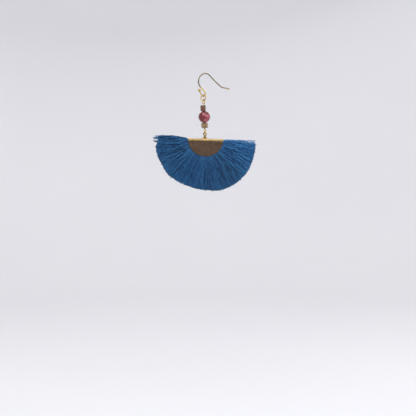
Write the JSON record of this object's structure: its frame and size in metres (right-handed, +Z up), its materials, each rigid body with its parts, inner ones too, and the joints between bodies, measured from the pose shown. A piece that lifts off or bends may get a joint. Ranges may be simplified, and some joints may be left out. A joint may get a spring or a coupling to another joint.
{
  "type": "tassel earring",
  "caption": "Drop earring: ball-end ear hook, beaded link and a half-round thread fan held in a folded metal cap.",
  "frame": {"origin": "middle of the wire at the top of the ear hook's arch, where it passes through the ear lobe", "axes": "+Z up as it hangs, +X along the fan's bar towards the hook's tail, -Y towards the viewer of the fan's front"},
  "size_m": [0.0679, 0.0133, 0.08],
  "materials": {
    "gold_wire": "gold-plated brass wire, polished",
    "gold_cap": "gold-plated brass sheet, polished",
    "rose_stone": "tumbled, satin",
    "red_stone": "polished",
    "tan_stone": "tumbled, satin",
    "blue_thread": "twisted thread, soft sheen"
  },
  "bodies": {
    "ear_wire": {"ear_hook": "gold_wire"},
    "link": {"jump_ring": "gold_wire", "eye_pin": "gold_wire", "cube_bead_top": "rose_stone", "round_bead": "red_stone", "cube_bead_bottom": "tan_stone"},
    "fan": {"fan_cap": "gold_cap", "fringe": "blue_thread"}
  },
  "joints": [
    {"name": "drop_swing", "type": "hinge", "parent": "ear_wire", "child": "link", "pos_m": [-0.00177, -0.0009, -0.01557], "axis": [0.891, 0.454, 0], "range_deg": [-60, 60]},
    {"name": "fan_swing", "type": "hinge", "parent": "link", "child": "fan", "pos_m": [-0.00066, -0.0009, -0.04101], "axis": [0, 1, 0], "range_deg": [-60, 60]}
  ]
}
